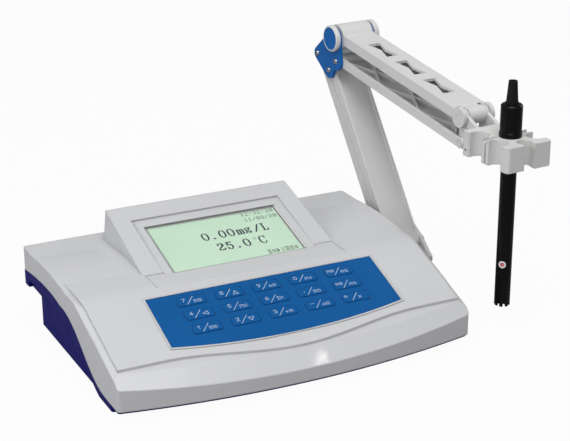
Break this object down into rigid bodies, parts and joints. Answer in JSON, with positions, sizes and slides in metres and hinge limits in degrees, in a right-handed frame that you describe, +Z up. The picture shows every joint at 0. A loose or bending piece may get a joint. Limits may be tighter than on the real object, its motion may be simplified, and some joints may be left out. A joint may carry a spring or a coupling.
{
  "type": "bench ph meter",
  "caption": "Sloped bench meter with a key panel and raised display, and an electrode held on a folding parallelogram arm beside it.",
  "frame": {"origin": "on the bench, under the centre of the base's width and midway between its front corners and its rear edge", "axes": "+X to the base's right side where the arm stands, +Y to the back, +Z up"},
  "size_m": [0.3547, 0.2931, 0.203],
  "materials": {
    "cover_white": "satin, lightly textured",
    "case_blue": "satin",
    "panel_blue": "soft gloss film",
    "window_clear": "clear",
    "lcd_glass": "smooth",
    "board_green": "solder mask",
    "arm_grey": "satin",
    "holder_white": "satin",
    "plate_blue": "painted look",
    "electrode_black": "gloss",
    "rubber_black": "matt",
    "steel": "brushed",
    "socket_metal": "plated",
    "black_plastic": "matt",
    "ring_white": "gloss",
    "button_pink": "matt"
  },
  "bodies": {
    "base": {"upper_cover": "cover_white", "lower_case": "case_blue", "rubber_feet": "rubber_black", "key_sheet": "panel_blue", "display_window": "window_clear", "display_module": "lcd_glass", "key_board": "board_green", "main_board": "board_green", "board_pillars": "steel", "case_screws": "steel", "bnc_sockets": "socket_metal", "probe_socket": "socket_metal", "power_jack": "black_plastic", "serial_port": "socket_metal", "ground_post": "black_plastic", "arm_bracket": "arm_grey", "bracket_screws": "steel", "swivel_pin": "steel"},
    "swivel": {"swivel_yoke": "arm_grey", "lower_pins": "steel"},
    "front_link": {"lower_front_link": "arm_grey"},
    "rear_link": {"lower_rear_link": "arm_grey"},
    "elbow": {"elbow_plate_left": "plate_blue", "elbow_plate_right": "plate_blue", "elbow_axle": "steel", "elbow_caps": "arm_grey", "elbow_discs": "plate_blue", "elbow_pins": "steel"},
    "top_link": {"upper_top_link": "arm_grey"},
    "bottom_link": {"upper_bottom_link": "arm_grey"},
    "head": {"electrode_holder": "holder_white", "head_pins": "steel"},
    "electrode": {"electrode_shaft": "electrode_black", "electrode_cap": "electrode_black", "cable_sleeve": "rubber_black", "membrane_cap": "electrode_black", "sensor_ring": "ring_white", "sensor_button": "button_pink"},
    "key_1": {"key_1": "panel_blue"},
    "key_2": {"key_2": "panel_blue"},
    "key_3": {"key_3": "panel_blue"},
    "key_4": {"key_4": "panel_blue"},
    "key_5": {"key_5": "panel_blue"},
    "key_6": {"key_6": "panel_blue"},
    "key_7": {"key_7": "panel_blue"},
    "key_8": {"key_8": "panel_blue"},
    "key_9": {"key_9": "panel_blue"},
    "key_10": {"key_10": "panel_blue"},
    "key_11": {"key_11": "panel_blue"},
    "key_12": {"key_12": "panel_blue"},
    "key_13": {"key_13": "panel_blue"},
    "key_14": {"key_14": "panel_blue"},
    "key_15": {"key_15": "panel_blue"}
  },
  "joints": [
    {"name": "arm_swivel", "type": "hinge", "parent": "base", "child": "swivel", "pos_m": [0.1773, 0.057, 0.0107], "axis": [0, 0, 1], "range_deg": [-12, 16]},
    {"name": "lower_arm_tilt", "type": "hinge", "parent": "swivel", "child": "front_link", "pos_m": [0.17754, 0.05361, 0.0222], "axis": [0.9976, 0.0698, 0], "range_deg": [0, 55]},
    {"name": "rear_link_tilt", "type": "hinge", "parent": "swivel", "child": "rear_link", "pos_m": [0.17621, 0.07256, 0.0331], "axis": [0.9976, 0.0698, 0], "range_deg": [0, 55]},
    {"name": "elbow_level", "type": "hinge", "parent": "front_link", "child": "elbow", "pos_m": [0.17094, 0.14802, 0.15736], "axis": [0.9976, 0.0698, 0], "range_deg": [-55, 0]},
    {"name": "upper_arm_tilt", "type": "hinge", "parent": "elbow", "child": "top_link", "pos_m": [0.17151, 0.13974, 0.18786], "axis": [0.9976, 0.0698, 0], "range_deg": [-35, 6]},
    {"name": "bottom_link_tilt", "type": "hinge", "parent": "elbow", "child": "bottom_link", "pos_m": [0.17172, 0.13684, 0.16756], "axis": [0.9976, 0.0698, 0], "range_deg": [-35, 6]},
    {"name": "head_level", "type": "hinge", "parent": "top_link", "child": "head", "pos_m": [0.18398, -0.03856, 0.16338], "axis": [0.9976, 0.0698, 0], "range_deg": [-6, 35]},
    {"name": "electrode_slide", "type": "slide", "parent": "head", "child": "electrode", "axis": [0, 0, 1], "range_m": [0, 0.05]},
    {"name": "key_1_press", "type": "slide", "parent": "base", "child": "key_1", "axis": [0, 0.3206, -0.9472], "range_m": [0, 0.0004], "stiffness_N_per_m": 600, "springref_m": -0.0005},
    {"name": "key_2_press", "type": "slide", "parent": "base", "child": "key_2", "axis": [0, 0.3206, -0.9472], "range_m": [0, 0.0004], "stiffness_N_per_m": 600, "springref_m": -0.0005},
    {"name": "key_3_press", "type": "slide", "parent": "base", "child": "key_3", "axis": [0, 0.3206, -0.9472], "range_m": [0, 0.0004], "stiffness_N_per_m": 600, "springref_m": -0.0005},
    {"name": "key_4_press", "type": "slide", "parent": "base", "child": "key_4", "axis": [0, 0.3206, -0.9472], "range_m": [0, 0.0004], "stiffness_N_per_m": 600, "springref_m": -0.0005},
    {"name": "key_5_press", "type": "slide", "parent": "base", "child": "key_5", "axis": [0, 0.3206, -0.9472], "range_m": [0, 0.0004], "stiffness_N_per_m": 600, "springref_m": -0.0005},
    {"name": "key_6_press", "type": "slide", "parent": "base", "child": "key_6", "axis": [0, 0.3206, -0.9472], "range_m": [0, 0.0004], "stiffness_N_per_m": 600, "springref_m": -0.0005},
    {"name": "key_7_press", "type": "slide", "parent": "base", "child": "key_7", "axis": [0, 0.3206, -0.9472], "range_m": [0, 0.0004], "stiffness_N_per_m": 600, "springref_m": -0.0005},
    {"name": "key_8_press", "type": "slide", "parent": "base", "child": "key_8", "axis": [0, 0.3206, -0.9472], "range_m": [0, 0.0004], "stiffness_N_per_m": 600, "springref_m": -0.0005},
    {"name": "key_9_press", "type": "slide", "parent": "base", "child": "key_9", "axis": [0, 0.3206, -0.9472], "range_m": [0, 0.0004], "stiffness_N_per_m": 600, "springref_m": -0.0005},
    {"name": "key_10_press", "type": "slide", "parent": "base", "child": "key_10", "axis": [0, 0.3206, -0.9472], "range_m": [0, 0.0004], "stiffness_N_per_m": 600, "springref_m": -0.0005},
    {"name": "key_11_press", "type": "slide", "parent": "base", "child": "key_11", "axis": [0, 0.3206, -0.9472], "range_m": [0, 0.0004], "stiffness_N_per_m": 600, "springref_m": -0.0005},
    {"name": "key_12_press", "type": "slide", "parent": "base", "child": "key_12", "axis": [0, 0.3206, -0.9472], "range_m": [0, 0.0004], "stiffness_N_per_m": 600, "springref_m": -0.0005},
    {"name": "key_13_press", "type": "slide", "parent": "base", "child": "key_13", "axis": [0, 0.3206, -0.9472], "range_m": [0, 0.0004], "stiffness_N_per_m": 600, "springref_m": -0.0005},
    {"name": "key_14_press", "type": "slide", "parent": "base", "child": "key_14", "axis": [0, 0.3206, -0.9472], "range_m": [0, 0.0004], "stiffness_N_per_m": 600, "springref_m": -0.0005},
    {"name": "key_15_press", "type": "slide", "parent": "base", "child": "key_15", "axis": [0, 0.3206, -0.9472], "range_m": [0, 0.0004], "stiffness_N_per_m": 600, "springref_m": -0.0005}
  ],
  "couplings": [
    {"joint": "rear_link_tilt", "follows": "lower_arm_tilt", "ratio": 1},
    {"joint": "elbow_level", "follows": "lower_arm_tilt", "ratio": -1},
    {"joint": "bottom_link_tilt", "follows": "upper_arm_tilt", "ratio": 1},
    {"joint": "head_level", "follows": "upper_arm_tilt", "ratio": -1}
  ]
}
